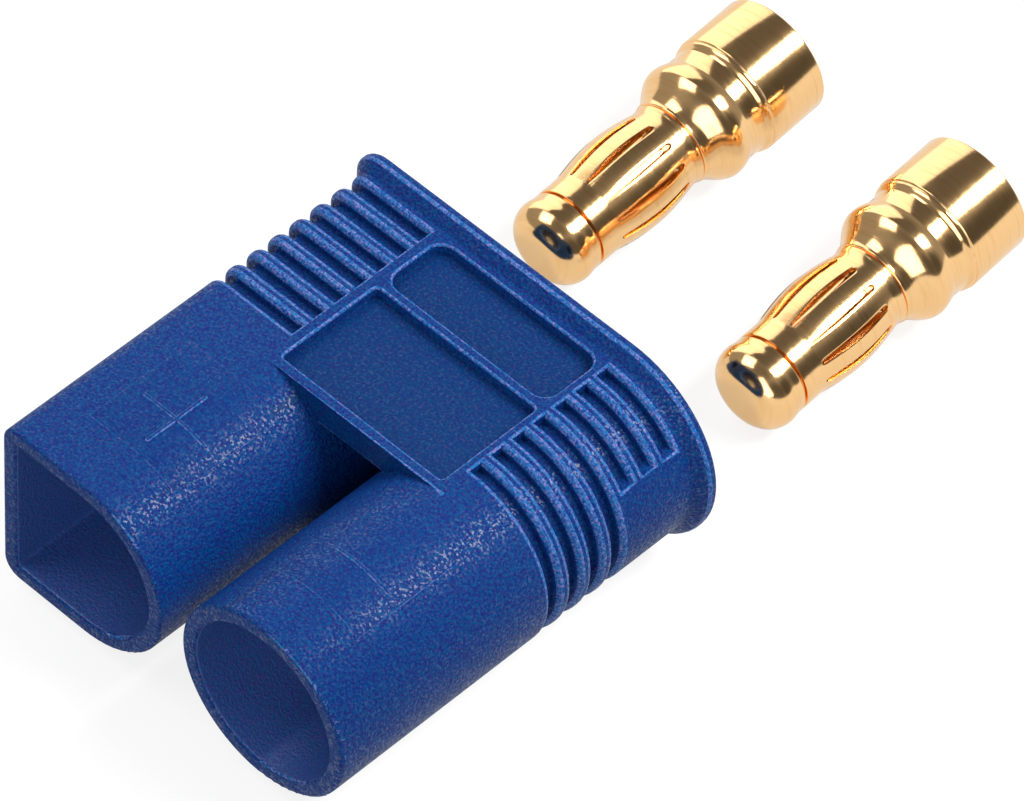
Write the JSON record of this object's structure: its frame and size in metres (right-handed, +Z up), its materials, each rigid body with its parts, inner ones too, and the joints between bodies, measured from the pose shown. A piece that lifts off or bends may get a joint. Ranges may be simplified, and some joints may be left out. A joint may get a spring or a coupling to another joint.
{
  "type": "battery lead connector",
  "caption": "Unassembled battery lead connector: ribbed blue moulded housing with a square-sided and a round shroud, and gold-plated plug contacts with slotted lantern springs behind it.",
  "frame": {"origin": "centre of the footprint of the housing and its contacts, on the surface that they lie on", "axes": "-Y points out of the shroud mouths, +X from the square-sided shroud to the round one, +Z up"},
  "size_m": [0.018, 0.0374, 0.0089],
  "materials": {
    "housing_nylon": "blue moulded nylon with a fine moulded grain",
    "gold_plate": "polished gold plating on turned brass",
    "spring_gold": "polished gold plating on rolled spring strip"
  },
  "bodies": {
    "root": {"housing": "housing_nylon", "positive_contact": "gold_plate", "positive_spring": "spring_gold", "negative_contact": "gold_plate", "negative_spring": "spring_gold"}
  },
  "joints": []
}
